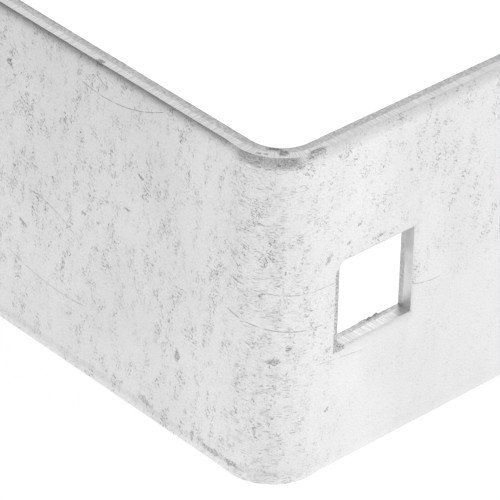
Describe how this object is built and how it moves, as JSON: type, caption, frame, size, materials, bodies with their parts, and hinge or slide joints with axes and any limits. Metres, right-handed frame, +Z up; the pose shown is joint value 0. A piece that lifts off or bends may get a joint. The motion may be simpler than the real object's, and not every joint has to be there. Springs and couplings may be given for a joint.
{
  "type": "angle bracket",
  "caption": "Right-angle bracket folded from flat galvanised steel strip, with a square bolt hole close to the fold in one leg and a plain second leg.",
  "frame": {"origin": "under the middle of the bounding box, on the surface that the bracket stands on", "axes": "+Z up across the strip's width; the bolted leg runs along X with its outer face towards -Y; the plain leg runs along Y with its outer face towards -X; the outside of the fold points towards -X and -Y"},
  "size_m": [0.06, 0.06, 0.04],
  "materials": {
    "galvanised_steel": "zinc-coated mill finish, pale matt grey with small dark pits and handling scratches"
  },
  "bodies": {
    "root": {"angle_bracket": "galvanised_steel"}
  },
  "joints": []
}
